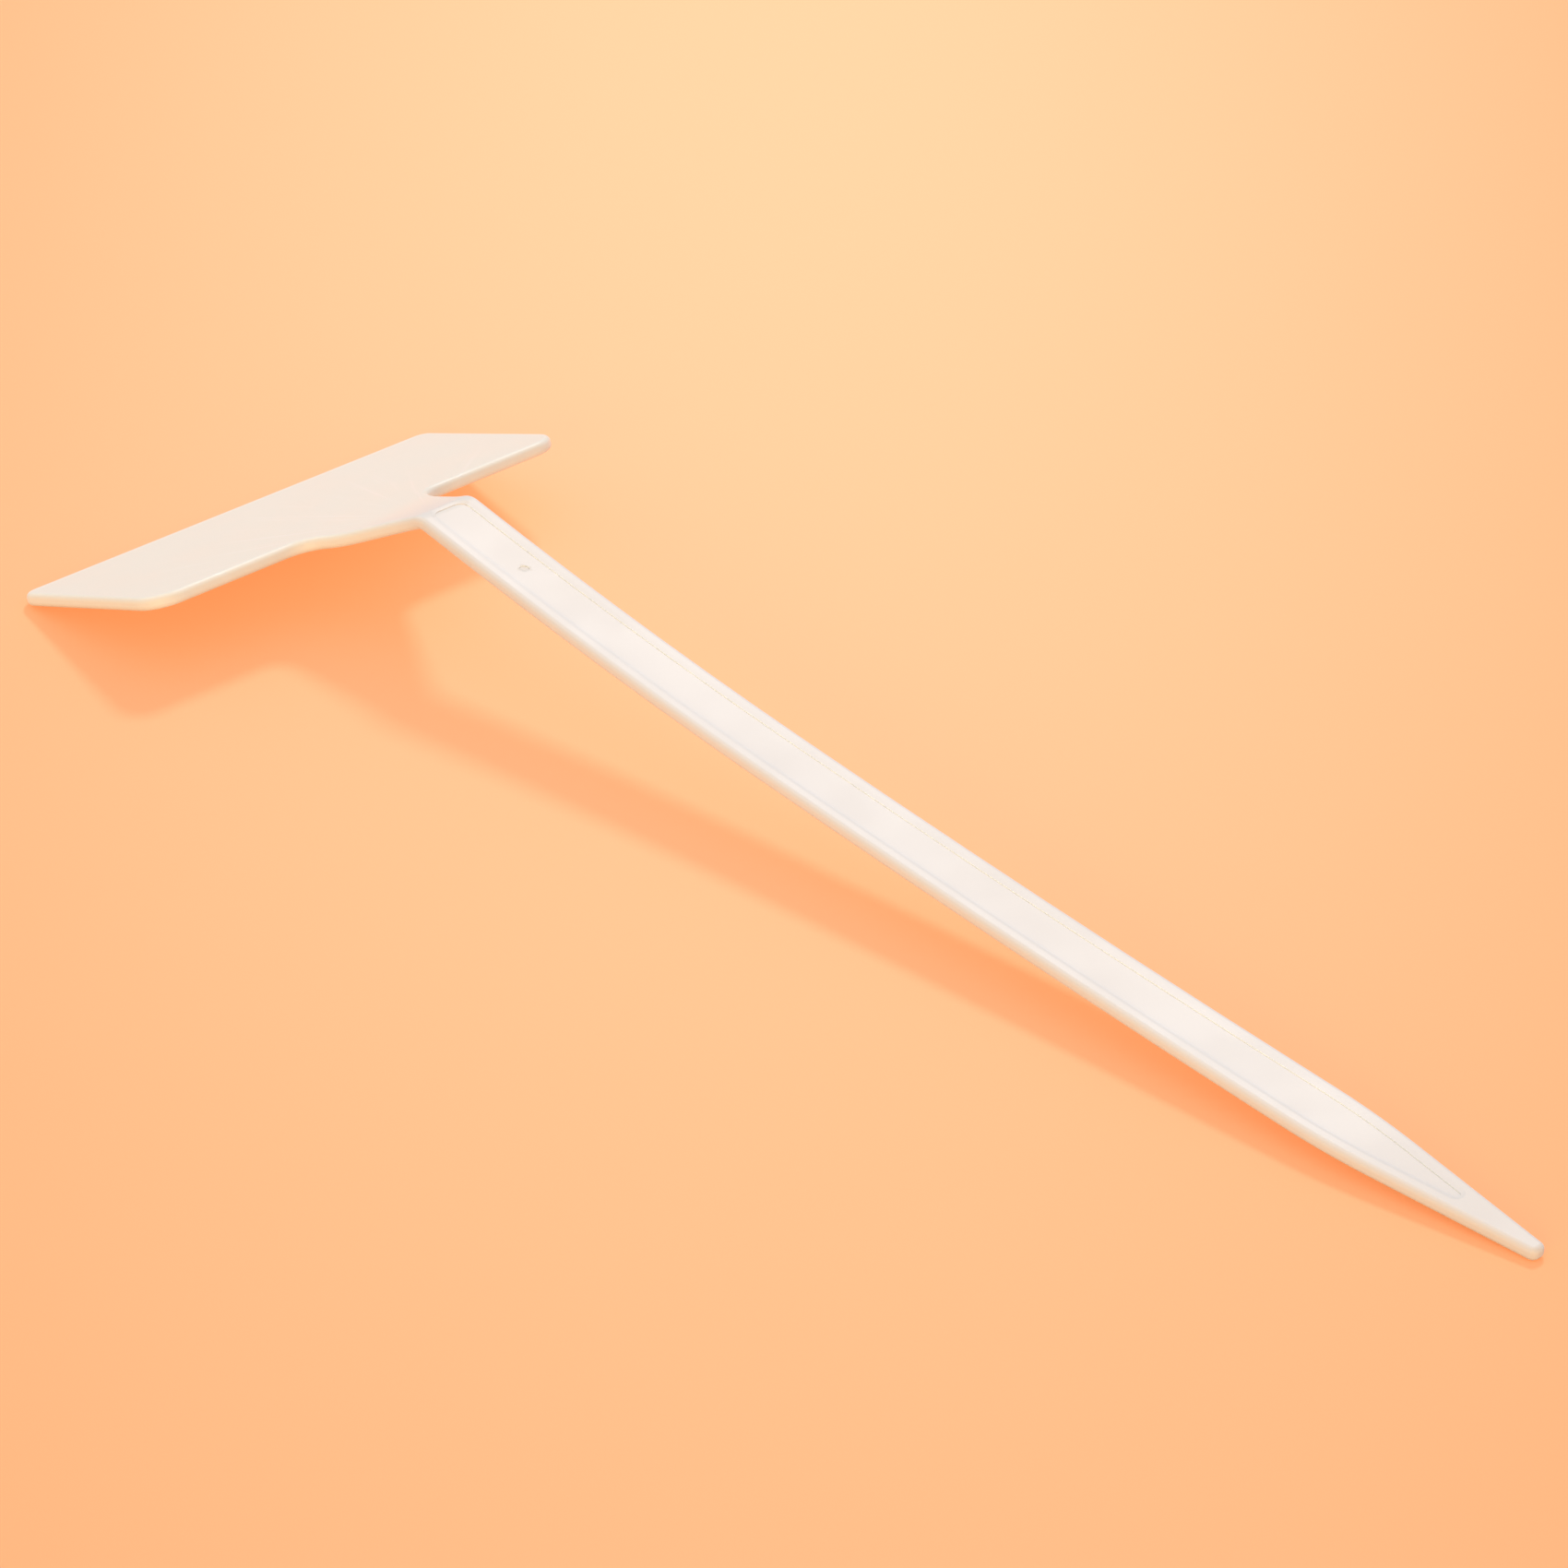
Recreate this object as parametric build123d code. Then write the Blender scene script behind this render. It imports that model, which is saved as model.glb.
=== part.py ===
"""Plant label stake: one soft plastic moulding, lying on its plate edge and its point.

The label is a wide T. Its writing plate runs into a flared neck, a crease moulded
across the neck sets plate and blade at an angle, and the long blade carries a shallow
channel that narrows into the point. The moulding is made whole, then parted across
its length into its four named regions, which meet face to face.

X runs along the label from the plate to the point, Y across it and Z up. The origin
is below the middle of the label, on the surface that it lies on. Millimetres.
"""

import math
import os

from build123d import *

# The whole moulding
wall = 2.0
edge_round = 0.8
edge_round_wall_share = 0.45

# Writing plate
plate_width = 75.0
plate_depth = 34.5
far_corner_radius = 2.3
near_corner_radius = 4.9

# Neck, from the plate's near edge to the crease
neck_length = 19.5
neck_root_width = 21.7
neck_root_radius = 4.2
neck_root_length = 3.0
neck_taper_length = 18.0
neck_throat_radius = 14.0
neck_bend_length = 5.0
neck_rise_angle = 6.6

# Crease across the end of the neck
crease_inner_radius = 2.0
crease_angle = 37.7

# Blade, which sags a little between the crease and the point
blade_width = 10.2
upper_blade_length = 69.5
upper_sag_angle = 4.6
lower_blade_length = 92.0
lower_sag_angle = 2.2

# Point
point_length = 45.6
point_taper_length = 32.0
point_shoulder_radius = 120.0
nose_width = 2.4
nose_radius = 1.1

# Channel in the upper face of the blade
rim_width = 2.2
channel_depth = 0.3
channel_setback = -0.9
channel_corner_radius = 1.6
channel_end_width = 1.3
channel_end_radius = 0.6
channel_slope_width = 0.6
channel_slope_share = 0.6

# Mark left where the plastic entered the mould
gate_setback = 16.0
gate_diameter = 1.5
gate_depth = 0.15

# How far a cutting or trimming shape runs past the moulding
overrun = 6.0

# A face that leans less than this from level is part of the upper or lower skin
skin_slope_limit = 50.0

rounding = min(edge_round, wall * edge_round_wall_share)
channel_floor = wall / 2 - channel_depth
crease_length = math.radians(crease_angle) * (crease_inner_radius + wall / 2)

# Legs of the side profile: length along mid-wall, and turn in degrees, upwards positive
legs = {
    "plate": (plate_depth + neck_root_length, 0),
    "neck_bend": (neck_bend_length, neck_rise_angle),
    "neck": (neck_length - neck_root_length - neck_bend_length, 0),
    "crease": (crease_length, -crease_angle),
    "upper_blade": (upper_blade_length, upper_sag_angle),
    "lower_blade": (lower_blade_length, lower_sag_angle),
    "point": (point_length, 0),
}


def walk(height):
    """Return the side profile as one edge a leg, at a height above mid-wall."""
    profile = {}
    place = Vector(0, height)
    along = Vector(1, 0)
    for name, (length, turn) in legs.items():
        if turn:
            radius = abs(length / math.radians(turn) - height)
            edge = JernArc(place, along, radius, turn)
        else:
            edge = Line(place, place + along * length)
        profile[name] = edge
        place = edge @ 1
        along = along.rotate(Axis.Z, turn)
    return profile


def ribbon(low, high, side):
    """Extrude the strip between two heights of the side profile across the label."""
    lower = walk(low)
    upper = walk(high)
    leading = Vector(overrun, 0)
    trailing = (lower["point"] % 1) * overrun
    low_start, high_start = lower["plate"] @ 0, upper["plate"] @ 0
    low_end, high_end = lower["point"] @ 1, upper["point"] @ 1
    heel = Polyline(low_start, low_start - leading, high_start - leading, high_start)
    toe = Polyline(low_end, low_end + trailing, high_end + trailing, high_end)
    outline = [*lower.values(), *upper.values(), heel, toe]
    face = make_face([edge for curve in outline for edge in curve.edges()])
    return extrude(side * face, amount=plate_width, both=True)


def rest_pitch():
    """Return the slope in degrees at which the plate's edge and the point both touch down."""
    keel = walk(rounding - wall / 2)
    heel = keel["plate"] @ 0 + Vector(rounding, 0)
    toe = keel["point"] @ 1 - (keel["point"] % 1) * rounding
    return math.degrees(math.atan2(heel.Y - toe.Y, toe.X - heel.X))


def plan_plane(side, start, finish):
    """Return the plane of a plan outline, from one point of the side profile to another."""
    origin = side.from_local_coords(start)
    along = side.from_local_coords(finish) - origin
    return Plane(origin=origin, x_dir=along, z_dir=along.cross(Vector(0, 1, 0)))


def mirrored_outline(half, radii):
    """Make the face between half an outline, whose ends are on the centre line, and its mirror image."""
    edge = FilletPolyline(*half, radius=radii)
    face = make_face(edge.edges() + Line(edge @ 1, edge @ 0).edges())
    return face + mirror(face, about=Plane.XZ)


def head_outline():
    """Outline the plate and the neck, in the plane of the plate."""
    neck_end = plate_depth + neck_length + crease_length + wall
    half = [
        (0, 0),
        (0, plate_width / 2),
        (plate_depth, plate_width / 2),
        (plate_depth, neck_root_width / 2),
        (plate_depth + neck_taper_length, blade_width / 2),
        (neck_end, blade_width / 2),
        (neck_end, 0),
    ]
    radii = [far_corner_radius, near_corner_radius, neck_root_radius, neck_throat_radius, 0]
    return mirrored_outline(half, radii)


def blade_outline(length):
    """Outline the blade and its point, in the plane of the point."""
    half = [
        (-crease_length, 0),
        (-crease_length, blade_width / 2),
        (length - point_taper_length, blade_width / 2),
        (length, nose_width / 2),
        (length, 0),
    ]
    return mirrored_outline(half, [0, point_shoulder_radius, nose_radius])


def channel_outline(length):
    """Outline the channel, a rim's width inside the outline of the blade."""
    half_channel = blade_width / 2 - rim_width
    taper = math.atan2((blade_width - nose_width) / 2, point_taper_length)
    shoulder = length - point_taper_length - rim_width * math.tan(taper / 2)
    end = shoulder + (half_channel - channel_end_width / 2) / math.tan(taper)
    half = [
        (channel_setback, 0),
        (channel_setback, half_channel),
        (shoulder, half_channel),
        (end, channel_end_width / 2),
        (end, 0),
    ]
    radii = [channel_corner_radius, point_shoulder_radius - rim_width, channel_end_radius]
    return mirrored_outline(half, radii)


def prism(plane, outline):
    """Extrude an outline both ways, far enough to pass through the whole label."""
    return extrude(plane * outline, amount=plate_width, both=True)


def rim_edges(solid):
    """Return the edges where the upper and lower skins meet the side walls."""
    level = math.cos(math.radians(skin_slope_limit))
    skins = [face for face in solid.faces() if abs(face.normal_at().Z) > level]
    walls = [face for face in solid.faces() if abs(face.normal_at().Z) <= level]
    wall_edges = {edge for face in walls for edge in face.edges()}
    return [edge for face in skins for edge in face.edges() if edge in wall_edges]


def moulding(side, head_plane, blade_plane, blade_length):
    """Make the whole label in one piece."""
    plan = prism(head_plane, head_outline()) + prism(blade_plane, blade_outline(blade_length))
    body = ribbon(-wall / 2, wall / 2, side) & plan
    body = fillet(rim_edges(body), rounding)
    channel = ribbon(channel_floor, wall, side) & prism(blade_plane, channel_outline(blade_length))
    return cut_channel(body, channel) - gate_mark(side)


def cut_channel(body, channel):
    """Cut the channel out of the body, and slope its walls down from the rim."""
    cut = body - channel
    lip = new_edges(body, channel, combined=cut).sort_by(Axis.Z)[-1]
    rim = [face for face in cut.faces() if lip in face.edges()]
    rim.sort(key=lambda face: face.normal_at().Z)
    slope_depth = channel_depth * channel_slope_share
    return cut.chamfer(channel_slope_width, slope_depth, [lip], rim[-1])


def gate_mark(side):
    """Return the shallow round pit in the channel's floor, just past the crease."""
    floor = walk(channel_floor)["upper_blade"]
    share = gate_setback / upper_blade_length
    spot = floor @ share
    plane = plan_plane(side, spot, spot + floor % share)
    return plane * Cylinder(gate_diameter / 2, gate_depth * 2)


def part_after(solid, side, leg):
    """Part a solid across the end of a leg; return the near piece and the far piece."""
    end = leg @ 1
    crossing = plan_plane(side, end, end + (leg % 1).rotate(Axis.Z, 90))
    near = split(solid, bisect_by=crossing, keep=Keep.TOP)
    far = split(solid, bisect_by=crossing, keep=Keep.BOTTOM)
    return near, far


def main():
    """Make the label, lay it down, part it and write one file a region."""
    profile = walk(0)
    slope = Vector(1, 0, 0).rotate(Axis.Y, -rest_pitch())
    side = Plane(origin=(0, 0, 0), x_dir=slope, z_dir=(0, -1, 0))
    tip = profile["point"] @ 1
    along = profile["point"] % 1
    blade_length = (tip - profile["crease"] @ 1).dot(along)
    head_plane = plan_plane(side, profile["plate"] @ 0, profile["plate"] @ 1)
    blade_plane = plan_plane(side, tip - along * blade_length, tip)
    whole = moulding(side, head_plane, blade_plane, blade_length)

    label_plate, rest = part_after(whole, side, profile["plate"])
    neck, rest = part_after(rest, side, profile["crease"])
    blade, point = part_after(rest, side, profile["lower_blade"])
    pieces = {"label_plate": label_plate, "neck": neck, "blade": blade, "point": point}

    box = whole.bounding_box()
    lie_down = Pos(-box.center().X, -box.center().Y, -box.min.Z)
    os.makedirs("parts", exist_ok=True)
    for name, piece in pieces.items():
        export_step(lie_down * piece, f"parts/{name}.step")


main()
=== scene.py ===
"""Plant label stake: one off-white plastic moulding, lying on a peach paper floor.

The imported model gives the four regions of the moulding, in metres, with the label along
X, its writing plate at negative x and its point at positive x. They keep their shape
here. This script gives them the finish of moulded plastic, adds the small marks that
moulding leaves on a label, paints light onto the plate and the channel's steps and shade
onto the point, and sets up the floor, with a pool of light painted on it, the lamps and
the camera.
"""

import logging
import math
from dataclasses import dataclass
from enum import Enum

import bpy
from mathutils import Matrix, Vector


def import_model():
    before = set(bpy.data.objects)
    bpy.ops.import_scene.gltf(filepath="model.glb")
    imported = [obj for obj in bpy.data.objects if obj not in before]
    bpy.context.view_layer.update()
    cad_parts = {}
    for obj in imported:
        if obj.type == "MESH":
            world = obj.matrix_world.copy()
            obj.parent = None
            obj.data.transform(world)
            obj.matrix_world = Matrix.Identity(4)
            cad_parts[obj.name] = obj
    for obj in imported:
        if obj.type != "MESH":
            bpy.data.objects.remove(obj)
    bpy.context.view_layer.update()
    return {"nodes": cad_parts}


log = logging.getLogger("plant_label")

Point = tuple[float, float, float]
Colour = tuple[float, float, float]
Range = tuple[float, float]
Node = bpy.types.Node
Socket = bpy.types.NodeSocket

# A Mix node's sockets go by number, because their names repeat for each kind of data
MIX_SHARE = 0
MIX_COLOURS = (6, 7)
MIX_RESULT = 2


class Region(Enum):
    """The four regions of the moulding, by the names of their CAD nodes."""

    PLATE = "label_plate"
    NECK = "neck"
    BLADE = "blade"
    POINT = "point"


class Graph:
    """A node tree with short calls that add a node and set its values."""

    def __init__(self, tree: bpy.types.NodeTree) -> None:
        """Start on a tree.

        Args:
            tree: The node tree that the calls add to.
        """
        self.tree = tree

    def node(self, kind: str, inputs: dict | None = None, **settings: object) -> Node:
        """Add a node.

        Args:
            kind: The node's type, without the words ShaderNode.
            inputs: A value or an output socket for each named or numbered input.
            settings: The node's own properties.

        Returns:
            The new node.
        """
        node = self.tree.nodes.new(kind if kind.startswith("Node") else "ShaderNode" + kind)
        for name, value in settings.items():
            setattr(node, name, value)
        for name, value in (inputs or {}).items():
            self.feed(node.inputs[name], value)
        return node

    def feed(self, socket: Socket, value: object) -> None:
        """Link a socket to an output, or set its value.

        Args:
            socket: The input socket.
            value: An output socket, or the value itself.
        """
        if isinstance(value, Socket):
            self.tree.links.new(value, socket)
        else:
            socket.default_value = value

    def parts(self, vector: Socket) -> bpy.types.NodeOutputs:
        """Split a vector into X, Y and Z.

        Args:
            vector: The vector.

        Returns:
            The three values by name.
        """
        return self.node("SeparateXYZ", {"Vector": vector}).outputs

    def joined(self, **parts: object) -> Socket:
        """Make a vector from its X, Y and Z, of which a missing one is 0.

        Args:
            parts: A number or an output socket for each.

        Returns:
            The vector.
        """
        return self.node("CombineXYZ", parts).outputs["Vector"]

    def maths(self, operation: str, *values: object, clamp: bool = False) -> Socket:
        """Add a Math node.

        Args:
            operation: The node's operation.
            values: A number or an output socket for each of its inputs.
            clamp: Whether the result is kept between 0 and 1.

        Returns:
            The node's output.
        """
        inputs = dict(enumerate(values))
        return self.node("Math", inputs, operation=operation, use_clamp=clamp).outputs["Value"]

    def vector(self, operation: str, *values: object) -> Socket:
        """Add a Vector Math node.

        Args:
            operation: The node's operation.
            values: A vector or an output socket for each of its inputs.

        Returns:
            The node's output that carries the result.
        """
        node = self.node("VectorMath", dict(enumerate(values)), operation=operation)
        return node.outputs["Value" if operation in ("DISTANCE", "LENGTH") else "Vector"]

    def ramp(self, value: Socket, edges: Range, low: float = 0.0, high: float = 1.0) -> Socket:
        """Map a value smoothly from one range to another, and hold it at both ends.

        Args:
            value: The value to map.
            edges: Where the result is low and where it is high.
            low: The result at the first edge.
            high: The result at the second edge.

        Returns:
            The mapped value.
        """
        start, end = edges
        inputs = {"Value": value, "From Min": start, "From Max": end, "To Min": low, "To Max": high}
        return self.node("MapRange", inputs, interpolation_type="SMOOTHSTEP").outputs["Result"]

    def mix(self, share: Socket, first: Socket | Colour, second: Socket | Colour) -> Socket:
        """Blend two colours.

        Args:
            share: How much of the second colour there is.
            first: The first colour.
            second: The second colour.

        Returns:
            The blended colour.
        """
        node = self.node("Mix", {MIX_SHARE: share}, data_type="RGBA")
        for number, colour in zip(MIX_COLOURS, (first, second)):
            self.feed(node.inputs[number], colour if isinstance(colour, Socket) else (*colour, 1.0))
        return node.outputs[MIX_RESULT]

    def noise(self, place: Socket, scale: object, detail: float, roughness: float = 0.5) -> Socket:
        """Add a noise pattern.

        Args:
            place: Where on the pattern each point lies.
            scale: How many features there are in a unit.
            detail: How many finer layers are added.
            roughness: How strong each finer layer is.

        Returns:
            The pattern, around 0.5.
        """
        inputs = {"Vector": place, "Scale": scale, "Detail": detail, "Roughness": roughness}
        return self.node("TexNoise", inputs).outputs[0]


class Effect:
    """A shader node group with named inputs and outputs, built once."""

    name = "effect"
    inputs: dict[str, tuple[str, object]] = {}
    outputs: tuple[str, ...] = ()

    def tree(self) -> bpy.types.NodeTree:
        """Return the node group, built at its first use."""
        found = bpy.data.node_groups.get(self.name)
        if found:
            return found
        tree = bpy.data.node_groups.new(self.name, "ShaderNodeTree")
        for label, (kind, value) in self.inputs.items():
            socket = tree.interface.new_socket(label, in_out="INPUT", socket_type=kind)
            if value is not None:
                socket.default_value = value
        for label in self.outputs:
            tree.interface.new_socket(label, in_out="OUTPUT", socket_type="NodeSocketFloat")
        graph = Graph(tree)
        given = graph.node("NodeGroupInput").outputs
        results = self.build(graph, given)
        graph.node("NodeGroupOutput", dict(zip(self.outputs, results)))
        return tree

    def build(self, graph: Graph, given: bpy.types.NodeOutputs) -> list[Socket]:
        """Add the group's nodes.

        Args:
            graph: The group's own graph.
            given: The group's inputs by name.

        Returns:
            One socket for each output.
        """
        raise NotImplementedError

    def place(self, graph: Graph, **values: object) -> bpy.types.NodeOutputs:
        """Place the group in a material.

        Args:
            graph: The material's graph.
            values: A value or socket for each input, with _ for a blank in its name.

        Returns:
            The group's outputs by name.
        """
        node = graph.node("Group", node_tree=self.tree())
        for name, value in values.items():
            graph.feed(node.inputs[name.replace("_", " ")], value)
        return node.outputs


class MouldSkin(Effect):
    """The skin of moulded plastic: its cloudiness, fine grain and slow waves."""

    name = "mould_skin"
    inputs = {
        "Vector": ("NodeSocketVector", None),
        "Grain Size": ("NodeSocketFloat", 0.0003),
        "Wave Size": ("NodeSocketFloat", 0.009),
        "Cloud Size": ("NodeSocketFloat", 0.03),
    }
    outputs = ("Cloud", "Grain", "Wave")
    details = {"Cloud Size": 3.0, "Grain Size": 2.0, "Wave Size": 1.0}

    def build(self, graph: Graph, given: bpy.types.NodeOutputs) -> list[Socket]:
        """Add three layers of noise, each of its own size.

        Args:
            graph: The group's own graph.
            given: The group's inputs by name.

        Returns:
            The cloudiness, the grain and the waves, each around 0.5.
        """
        results = []
        for label, detail in self.details.items():
            scale = graph.maths("DIVIDE", 1.0, given[label])
            results.append(graph.noise(given["Vector"], scale, detail))
        return results


class FlowStreaks(Effect):
    """Streaks left by plastic that flowed along the blade and fanned out over the plate."""

    name = "flow_streaks"
    inputs = {
        "Vector": ("NodeSocketVector", None),
        "Fan Centre": ("NodeSocketVector", (0.0, 0.0, 0.0)),
        "Reach": ("NodeSocketFloat", 0.05),
        "Streaks": ("NodeSocketFloat", 14.0),
    }
    outputs = ("Streak",)
    detail = 2.0
    roughness = 0.6
    line_edges: Range = (0.54, 0.70)
    start_edges: Range = (0.006, 0.016)
    fade_edges: Range = (0.55, 1.0)

    def build(self, graph: Graph, given: bpy.types.NodeOutputs) -> list[Socket]:
        """Stretch noise along the rays of a fan, and fade it with distance.

        Args:
            graph: The group's own graph.
            given: The group's inputs by name.

        Returns:
            The streaks, from 0 to 1.
        """
        offset = graph.parts(graph.vector("SUBTRACT", given["Vector"], given["Fan Centre"]))
        away = graph.vector("LENGTH", graph.joined(X=offset["X"], Y=offset["Y"]))
        backwards = graph.maths("MULTIPLY", offset["X"], -1.0)
        angle = graph.maths("ARCTAN2", offset["Y"], backwards)
        across = graph.maths("MULTIPLY", angle, given["Streaks"])
        along = graph.maths("DIVIDE", away, given["Reach"])
        raw = graph.noise(graph.joined(X=across, Y=along), 1.0, self.detail, self.roughness)
        lines = graph.ramp(raw, self.line_edges)
        start = graph.ramp(away, self.start_edges)
        fade = graph.ramp(along, self.fade_edges, 1.0, 0.0)
        kept = graph.maths("MULTIPLY", start, fade)
        return [graph.maths("MULTIPLY", lines, kept)]


class Spot(Effect):
    """A small soft-edged spot with a ragged outline."""

    name = "spot"
    inputs = {
        "Vector": ("NodeSocketVector", None),
        "Centre": ("NodeSocketVector", (0.0, 0.0, 0.0)),
        "Radius": ("NodeSocketFloat", 0.001),
        "Softness": ("NodeSocketFloat", 0.3),
        "Raggedness": ("NodeSocketFloat", 0.3),
    }
    outputs = ("Spot",)
    detail = 1.0

    def build(self, graph: Graph, given: bpy.types.NodeOutputs) -> list[Socket]:
        """Compare the distance from the centre with a radius that noise varies.

        Args:
            graph: The group's own graph.
            given: The group's inputs by name.

        Returns:
            1 inside the spot and 0 outside it.
        """
        away = graph.vector("DISTANCE", given["Vector"], given["Centre"])
        share = graph.maths("DIVIDE", away, given["Radius"])
        scale = graph.maths("DIVIDE", 1.0, given["Radius"])
        wander = graph.noise(given["Vector"], scale, self.detail)
        swing = graph.maths("MULTIPLY_ADD", wander, 2.0, -1.0)
        ragged = graph.maths("MULTIPLY_ADD", swing, given["Raggedness"], share)
        inside = graph.maths("SUBTRACT", 1.0, ragged)
        return [graph.maths("DIVIDE", inside, given["Softness"], clamp=True)]


class ChannelBanks(Effect):
    """The channel's banks: the slopes below the rim, and the low steps at their feet.

    Wide and Narrow are half the blade's width before its taper and at the nose. Rim is
    how far inside that outline the banks begin, and all sizes are in metres.
    """

    name = "channel_banks"
    inputs = {
        "Vector": ("NodeSocketVector", None),
        "Normal": ("NodeSocketVector", None),
        "Taper Start": ("NodeSocketFloat", 0.097),
        "Taper End": ("NodeSocketFloat", 0.129),
        "Wide": ("NodeSocketFloat", 0.0051),
        "Narrow": ("NodeSocketFloat", 0.0012),
        "Rim": ("NodeSocketFloat", 0.0013),
    }
    outputs = ("Slope", "Step")
    lowest_lean = -0.2
    tilted_edges: Range = (0.04, 0.16)
    upright_edges: Range = (0.5, 0.8)

    def build(self, graph: Graph, given: bpy.types.NodeOutputs) -> list[Socket]:
        """Find the tilted and the upright faces inside the rim.

        Args:
            graph: The group's own graph.
            given: The group's inputs by name.

        Returns:
            1 on the slopes, and 1 on the steps.
        """
        place = graph.parts(given["Vector"])
        taper = {
            "Value": place["X"],
            "From Min": given["Taper Start"],
            "From Max": given["Taper End"],
            "To Min": given["Wide"],
            "To Max": given["Narrow"],
        }
        half_width = graph.node("MapRange", taper).outputs["Result"]
        bank = graph.maths("SUBTRACT", half_width, given["Rim"])
        inside = graph.maths("LESS_THAN", graph.maths("ABSOLUTE", place["Y"]), bank)
        lean = graph.parts(given["Normal"])
        upper = graph.maths("GREATER_THAN", lean["Z"], self.lowest_lean)
        region = graph.maths("MULTIPLY", inside, upper)
        tilted = graph.ramp(graph.maths("ABSOLUTE", lean["Y"]), self.tilted_edges)
        upright = graph.ramp(lean["Z"], self.upright_edges, 1.0, 0.0)
        return [graph.maths("MULTIPLY", region, mask) for mask in (tilted, upright)]


def blank_material(name: str) -> tuple[bpy.types.Material, Graph]:
    """Make a material that has no nodes yet.

    Args:
        name: The material's name.

    Returns:
        The material and its graph.
    """
    material = bpy.data.materials.new(name)
    material.use_nodes = True
    material.node_tree.nodes.clear()
    return material, Graph(material.node_tree)


@dataclass
class Coat:
    """What a plastic feeds its shader, as its marks are laid on."""

    graph: Graph
    place: Socket
    colour: Socket
    roughness: Socket
    height: Socket

    def lay(
        self,
        mask: Socket,
        colour: Colour,
        share: float = 1.0,
        rougher: float = 0.0,
        higher: float = 0.0,
    ) -> None:
        """Lay a mark over what is there.

        Args:
            mask: Where the mark is.
            colour: The mark's colour.
            share: How much of that colour shows.
            rougher: How much rougher the mark is.
            higher: How far the mark stands up, in metres.
        """
        cover = self.graph.maths("MULTIPLY", mask, share) if share < 1.0 else mask
        self.colour = self.graph.mix(cover, self.colour, colour)
        if rougher:
            self.roughness = self.graph.maths("MULTIPLY_ADD", mask, rougher, self.roughness)
        if higher:
            self.height = self.graph.maths("MULTIPLY_ADD", mask, higher, self.height)


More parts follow.
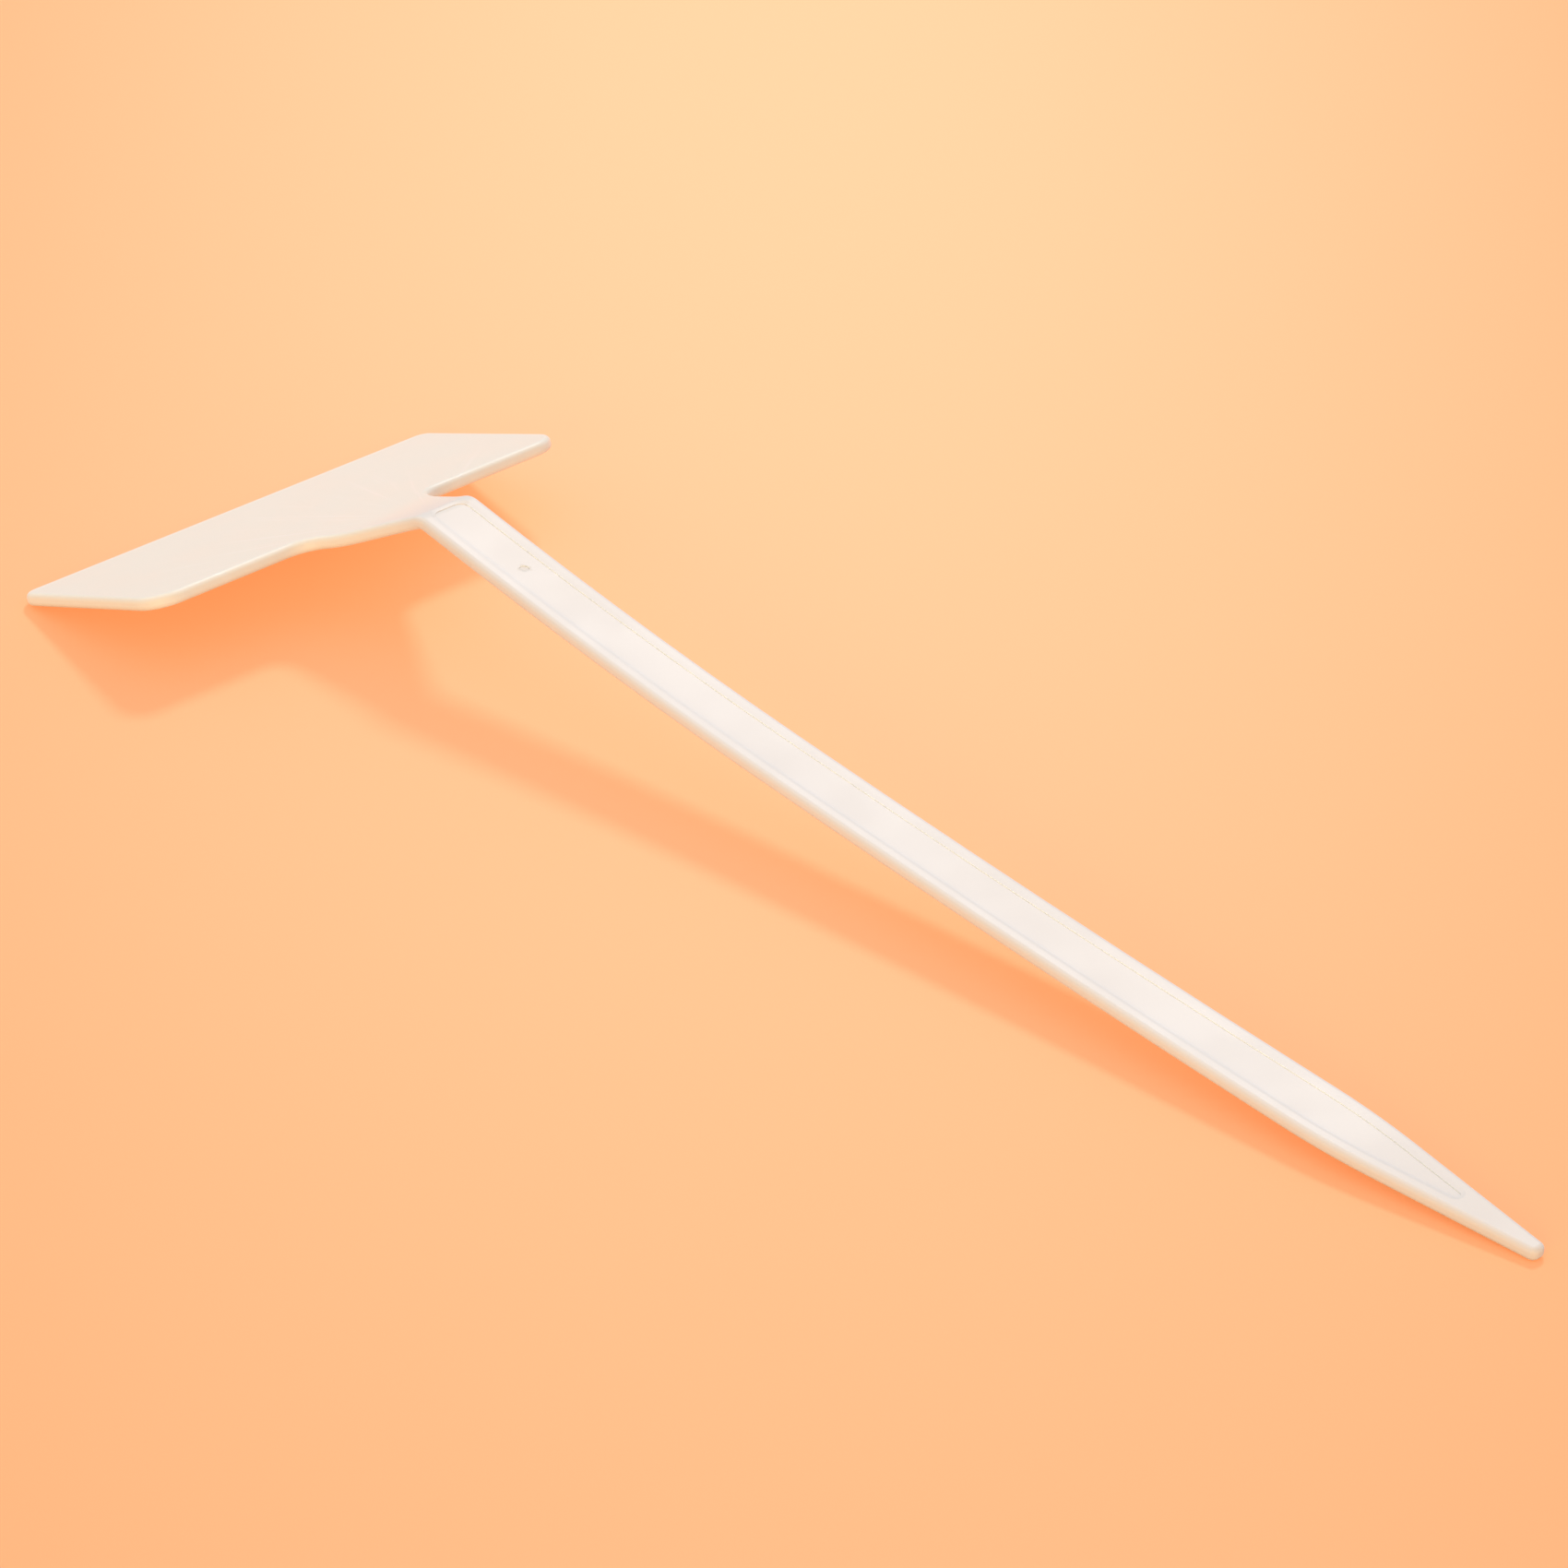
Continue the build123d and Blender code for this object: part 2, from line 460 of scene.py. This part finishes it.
@dataclass(frozen=True)
class Plastic:
    """Satin off-white plastic, as it leaves the mould.

    Places and sizes are in metres and colours are linear. Each mark that has no place is
    left out. The plate's lighter colour and the lighter channel steps are painted light, and
    the darker point is painted shade.
    """

    name: str
    pale: Colour = (0.80, 0.79, 0.782)
    warm: Colour = (0.785, 0.77, 0.757)
    cloud_edges: Range = (0.35, 0.65)
    roughness_range: Range = (0.39, 0.45)
    wave_edges: Range = (0.3, 0.7)
    specular_level: float = 0.35
    grain_height: float = 0.000003
    wave_height: float = 0.000006

    fan_centre: Point | None = None
    fan_reach: float = 0.045
    # painted light: the plate's colour is made lighter, fading out along the neck
    painted_plate_light: Colour = (0.885, 0.865, 0.79)
    painted_plate_light_edges: Range = (-0.094, -0.0725)
    streak: Colour = (0.92, 0.91, 0.87)
    streak_share: float = 0.5
    streak_rougher: float = -0.08
    streak_height: float = 0.000015

    gate: Point | None = None
    gate_radius: float = 0.0009
    gate_raggedness: float = 0.8
    # a slightly darker, rougher grey spot at the gate
    gate_grey: Colour = (0.79, 0.76, 0.72)
    gate_grey_rougher: float = 0.15

    inclusion: Point | None = None
    inclusion_radius: float = 0.00016
    speck: Colour = (0.05, 0.04, 0.035)

    # painted shade: the point is painted darker towards its nose, and made rougher
    point_shade_edges: Range | None = None
    point_shade: Colour = (0.778, 0.755, 0.735)
    point_rougher: float = 0.08

    channelled: bool = False
    easing: float = 0.8
    # painted highlight: the colour that lightens the channel's upright steps
    painted_step_light: Colour = (0.93, 1.0, 1.0)

    def material(self) -> bpy.types.Material:
        """Build the material.

        Returns:
            The finished material.
        """
        material, graph = blank_material(self.name)
        coat = self.skin(graph)
        if self.fan_centre:
            self.add_plate_light_and_flow(coat)
        if self.gate:
            self.add_gate(coat)
        if self.inclusion:
            self.add_inclusion(coat)
        if self.point_shade_edges:
            self.add_point_shade(coat)
        bump = graph.node("Bump", {"Distance": 1.0, "Height": coat.height})
        if self.channelled:
            graph.feed(bump.inputs["Normal"], self.add_banks(coat))
        inputs = {
            "Base Color": coat.colour,
            "Roughness": coat.roughness,
            "Normal": bump.outputs["Normal"],
            "Specular IOR Level": self.specular_level,
        }
        shader = graph.node("BsdfPrincipled", inputs)
        graph.node("OutputMaterial", {"Surface": shader.outputs["BSDF"]})
        return material

    def skin(self, graph: Graph) -> Coat:
        """Make the plain coat that every region has.

        Args:
            graph: The material's graph.

        Returns:
            The coat.
        """
        place = graph.node("TexCoord").outputs["Object"]
        skin = MouldSkin().place(graph, Vector=place)
        cloud = graph.ramp(skin["Cloud"], self.cloud_edges)
        colour = graph.mix(cloud, self.pale, self.warm)
        roughness = graph.ramp(skin["Wave"], self.wave_edges, *self.roughness_range)
        grain = graph.maths("MULTIPLY", skin["Grain"], self.grain_height)
        height = graph.maths("MULTIPLY_ADD", skin["Wave"], self.wave_height, grain)
        return Coat(graph, place, colour, roughness, height)

    def add_plate_light_and_flow(self, coat: Coat) -> None:
        """Paint light onto the plate, fading out along the neck, and add the streaks where the
        plastic fanned out.

        Args:
            coat: The coat that they are laid on.
        """
        along = coat.graph.parts(coat.place)["X"]
        # painted light on the plate, fading out along the neck
        coat.lay(coat.graph.ramp(along, self.painted_plate_light_edges, 1.0, 0.0), self.painted_plate_light)
        sizes = {"Fan_Centre": self.fan_centre, "Reach": self.fan_reach}
        streak = FlowStreaks().place(coat.graph, Vector=coat.place, **sizes)["Streak"]
        coat.lay(streak, self.streak, self.streak_share, self.streak_rougher, self.streak_height)

    def add_gate(self, coat: Coat) -> None:
        """Add a grey spot where the plastic came into the mould.

        Args:
            coat: The coat that it is laid on.
        """
        sizes = {
            "Centre": self.gate,
            "Radius": self.gate_radius,
            "Raggedness": self.gate_raggedness,
        }
        gate_spot = Spot().place(coat.graph, Vector=coat.place, **sizes)["Spot"]
        coat.lay(gate_spot, self.gate_grey, rougher=self.gate_grey_rougher)

    def add_inclusion(self, coat: Coat) -> None:
        """Add the dark speck that is caught in the plastic.

        Args:
            coat: The coat that it is laid on.
        """
        sizes = {"Centre": self.inclusion, "Radius": self.inclusion_radius}
        dot = Spot().place(coat.graph, Vector=coat.place, **sizes)["Spot"]
        coat.lay(dot, self.speck)

    def add_point_shade(self, coat: Coat) -> None:
        """Paint the point darker, as painted shade, and make it rougher.

        Args:
            coat: The coat that is darkened and roughened.
        """
        along = coat.graph.parts(coat.place)["X"]
        # painted shade on the point
        mask = coat.graph.ramp(along, self.point_shade_edges)
        coat.lay(mask, self.point_shade, rougher=self.point_rougher)

    def add_banks(self, coat: Coat) -> Socket:
        """Ease the channel's slopes as soft light shows them, and paint a highlight onto its steps.

        Args:
            coat: The coat of the steps.

        Returns:
            The normal before any bump, flatter on the slopes.
        """
        graph = coat.graph
        normal = graph.node("NewGeometry").outputs["Normal"]
        bank = ChannelBanks().place(graph, Vector=coat.place, Normal=normal)
        # painted highlight on the upright steps, which face away from the key lamp
        coat.lay(bank["Step"], self.painted_step_light)
        lean = graph.parts(normal)
        kept = graph.maths("MULTIPLY_ADD", bank["Slope"], -self.easing, 1.0)
        across = graph.maths("MULTIPLY", lean["Y"], kept)
        return graph.vector("NORMALIZE", graph.joined(X=lean["X"], Y=across, Z=lean["Z"]))


@dataclass
class Label:
    """The moulding: four CAD regions, each with the finish of its place.

    Places are in metres.
    """

    fan_centre: Point = (-0.082, 0.0, 0.018)
    gate: Point = (-0.06117, 0.0, 0.01924)
    inclusion: Point = (-0.0189, -0.0023, 0.0138)
    # where the painted shade on the point begins and where it is full
    point_shade_edges: Range = (0.088, 0.121)

    def finishes(self) -> dict[Region, Plastic]:
        """Return the finish of each region."""
        blade_marks = {"gate": self.gate, "inclusion": self.inclusion}
        point_marks = {"point_shade_edges": self.point_shade_edges}
        return {
            Region.PLATE: Plastic("plastic_of_plate", fan_centre=self.fan_centre),
            Region.NECK: Plastic("plastic_of_neck", fan_centre=self.fan_centre),
            Region.BLADE: Plastic("plastic_of_blade", channelled=True, **blade_marks),
            Region.POINT: Plastic("plastic_of_point", channelled=True, **point_marks),
        }

    def dress(self, nodes: dict[str, bpy.types.Object]) -> None:
        """Give each CAD region its material.

        Args:
            nodes: The CAD nodes by name.
        """
        for region, finish in self.finishes().items():
            material = finish.material()
            for slot in nodes[region.value].material_slots:
                slot.material = material
            log.info("dressed %s in %s", region.value, finish.name)


@dataclass
class PaperFloor:
    """The sheet of peach paper that the label lies on, with a pool of light painted on it.

    Sizes are in metres and pool_turn is in degrees. beyond_edges are shares of the
    pool's second reach: where the dimming begins to fade, and where it is gone.
    """

    side: float = 6.0
    # painted pool of light: the paper's colour in the middle of the pool, and its painted shade
    # well outside it
    colour: Colour = (0.93, 0.52, 0.36)
    shade: Colour = (0.45, 0.275, 0.158)
    pool_centre: Point = (-0.1955, 0.1741, 0.0)
    pool_turn: float = 47.7
    pool_reach: Point = (0.246, 0.736, 1.0)
    beyond_edges: Range = (0.3, 1.5)
    glow: Colour = (1.0, 0.26, 0.06)
    glow_strength: float = 0.62
    fibre_size: float = 0.0006
    fibre_detail: float = 3.0
    fibre_height: float = 0.00001
    roughness: float = 0.85
    specular_level: float = 0.1

    def material(self) -> bpy.types.Material:
        """Build the paper's material.

        Returns:
            The finished material.
        """
        material, graph = blank_material("peach_paper")
        place = graph.node("TexCoord").outputs["Object"]
        fibre = graph.noise(place, 1.0 / self.fibre_size, self.fibre_detail)
        height = graph.maths("MULTIPLY", fibre, self.fibre_height)
        inputs = {
            # painted pool of light and painted shade, mixed by the dimming
            "Base Color": graph.mix(self.dimming(graph, place), self.colour, self.shade),
            "Roughness": self.roughness,
            "Normal": graph.node("Bump", {"Distance": 1.0, "Height": height}).outputs["Normal"],
            "Specular IOR Level": self.specular_level,
            "Emission Color": (*self.glow, 1.0),
            "Emission Strength": self.seen_glow(graph),
        }
        shader = graph.node("BsdfPrincipled", inputs)
        graph.node("OutputMaterial", {"Surface": shader.outputs["BSDF"]})
        return material

    def dimming(self, graph: Graph, place: Socket) -> Socket:
        """Find how far the paper is painted darker away from the painted pool of light.

        Args:
            graph: The material's graph.
            place: Where each point of the paper lies.

        Returns:
            0 in the middle of the pool and 1 well outside it.
        """
        inputs = {
            "Vector": place,
            "Location": self.pool_centre,
            "Rotation": (0.0, 0.0, math.radians(self.pool_turn)),
            "Scale": self.pool_reach,
        }
        turned = graph.node("Mapping", inputs, vector_type="TEXTURE").outputs["Vector"]
        dimmed = graph.ramp(graph.vector("LENGTH", turned), (0.0, 1.0))
        lit_again = graph.ramp(graph.parts(turned)["Y"], self.beyond_edges, 1.0, 0.0)
        return graph.maths("MULTIPLY", dimmed, lit_again)

    def seen_glow(self, graph: Graph) -> Socket:
        """Limit the glow to what is seen, so that it lights nothing.

        Args:
            graph: The material's graph.

        Returns:
            The glow's strength.
        """
        path = graph.node("LightPath").outputs
        mirrored = graph.maths("ADD", path["Is Glossy Ray"], path["Is Transmission Ray"])
        seen = graph.maths("ADD", path["Is Camera Ray"], mirrored, clamp=True)
        return graph.maths("MULTIPLY", seen, self.glow_strength)

    def build(self) -> None:
        """Lay the sheet under the label."""
        bpy.ops.object.select_all(action="DESELECT")
        bpy.ops.mesh.primitive_plane_add(size=self.side, location=(0.0, 0.0, 0.0))
        floor = bpy.context.object
        floor.name = "paper_floor"
        floor.data.materials.append(self.material())
        log.info("laid %s", floor.name)


@dataclass(frozen=True)
class Aim:
    """A place on a sphere around a target, for a lamp or the camera, in degrees and metres."""

    target: Point
    azimuth: float
    elevation: float
    distance: float

    def direction(self) -> Vector:
        """Return the unit vector from the target to the place."""
        turn = math.radians(self.azimuth)
        rise = math.radians(self.elevation)
        level = math.cos(rise)
        return Vector((math.cos(turn) * level, math.sin(turn) * level, math.sin(rise)))

    def put(self, thing: bpy.types.Object) -> None:
        """Move a lamp or camera there and turn it to the target.

        Args:
            thing: The lamp or camera.
        """
        away = self.direction()
        thing.location = Vector(self.target) + away * self.distance
        thing.rotation_euler = away.to_track_quat("Z", "Y").to_euler()


@dataclass(frozen=True)
class Lamp:
    """A round soft lamp, or a card that throws light like one.

    The diameter is in metres and the power in watts.
    """

    name: str
    aim: Aim
    diameter: float
    power: float
    colour: Colour
    shadow: bool = True

    def build(self) -> None:
        """Add the lamp to the scene."""
        data = bpy.data.lights.new(self.name, "AREA")
        data.shape = "DISK"
        data.size = self.diameter
        data.energy = self.power
        data.color = self.colour
        data.use_shadow = self.shadow
        lamp = bpy.data.objects.new(self.name, data)
        bpy.context.scene.collection.objects.link(lamp)
        self.aim.put(lamp)
        log.info("hung %s", self.name)


@dataclass
class Studio:
    """The lamps, the light all round and the camera.

    Places are in metres, and lens and sensor in millimetres.
    """

    middle: Point = (-0.02, 0.0, 0.01)
    view_aim: Aim = Aim(
        target=(-0.017745, 0.009133, 0.0),
        azimuth=-42.3199,
        elevation=30.4165,
        distance=0.9,
    )
    lens: float = 151.1934
    sensor: float = 36.0
    surround: Colour = (1.0, 0.97, 0.98)
    surround_strength: float = 0.58

    def lamps(self) -> list[Lamp]:
        """Return the lamps and the low warm cards that stand for light off the paper."""
        key = Aim(self.middle, azimuth=124.0, elevation=49.0, distance=2.5)
        side = Aim(self.middle, azimuth=195.0, elevation=42.0, distance=2.5)
        front = Aim(self.middle, azimuth=-60.0, elevation=7.0, distance=1.8)
        end = Aim(self.middle, azimuth=25.0, elevation=7.0, distance=1.8)
        pale = (1.0, 0.98, 0.85)
        return [
            Lamp("key_lamp", key, diameter=0.50, power=22.5, colour=(1.0, 0.95, 0.93)),
            Lamp("side_lamp", side, diameter=0.80, power=8.0, colour=pale, shadow=False),
            Lamp("front_card", front, diameter=1.20, power=24.0, colour=(1.0, 0.63, 0.24)),
            Lamp("end_card", end, diameter=0.90, power=5.0, colour=(1.0, 0.60, 0.22)),
        ]

    def light_surround(self) -> None:
        """Light the scene softly from all round."""
        world = bpy.data.worlds.new("surround")
        world.use_nodes = True
        background = world.node_tree.nodes["Background"]
        background.inputs["Color"].default_value = (*self.surround, 1.0)
        background.inputs["Strength"].default_value = self.surround_strength
        bpy.context.scene.world = world

    def set_camera(self) -> None:
        """Set up the camera."""
        data = bpy.data.cameras.new("view")
        data.lens = self.lens
        data.sensor_width = self.sensor
        camera = bpy.data.objects.new("view", data)
        bpy.context.scene.collection.objects.link(camera)
        self.view_aim.put(camera)
        bpy.context.scene.camera = camera
        log.info("set up the camera")

    def build(self) -> None:
        """Hang the lamps, light the surround and set up the camera."""
        for lamp in self.lamps():
            lamp.build()
        self.light_surround()
        self.set_camera()
        bpy.context.scene.view_settings.view_transform = "Standard"


def main() -> None:
    """Build the label, the floor and the studio, in that order."""
    logging.basicConfig(level=logging.INFO, format="%(name)s: %(message)s")
    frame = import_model()
    Label().dress(frame["nodes"])
    PaperFloor().build()
    Studio().build()


if __name__ == "__main__":
    main()
